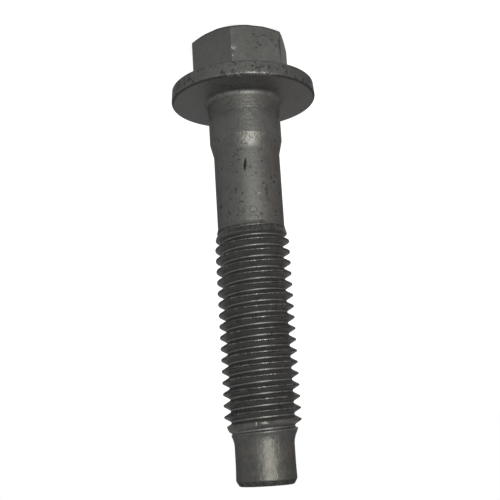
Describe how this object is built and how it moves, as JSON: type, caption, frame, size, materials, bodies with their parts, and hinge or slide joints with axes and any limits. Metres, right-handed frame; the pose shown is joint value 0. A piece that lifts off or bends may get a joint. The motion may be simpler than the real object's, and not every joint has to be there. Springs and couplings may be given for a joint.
{
  "type": "hexagon flange bolt",
  "caption": "Dark steel hexagon flange bolt with a full collar, a reduced shank, a coarse right-hand thread and a smooth dog point",
  "frame": {"origin": "centre of the bearing face, which is the underside of the flange", "axes": "+Z runs along the shank from the bearing face to the dog point and the head lies below z = 0; two flats of the hexagon face +X and -X, and two of its corners lie along +Y and -Y"},
  "size_m": [0.0238, 0.0238, 0.0719],
  "materials": {
    "dark_coated_steel": "dark grey phosphate or zinc-flake coat on forged steel, satin, with rubbed highlights, small pits and dents"
  },
  "bodies": {
    "root": {"flange_bolt": "dark_coated_steel"}
  },
  "joints": []
}
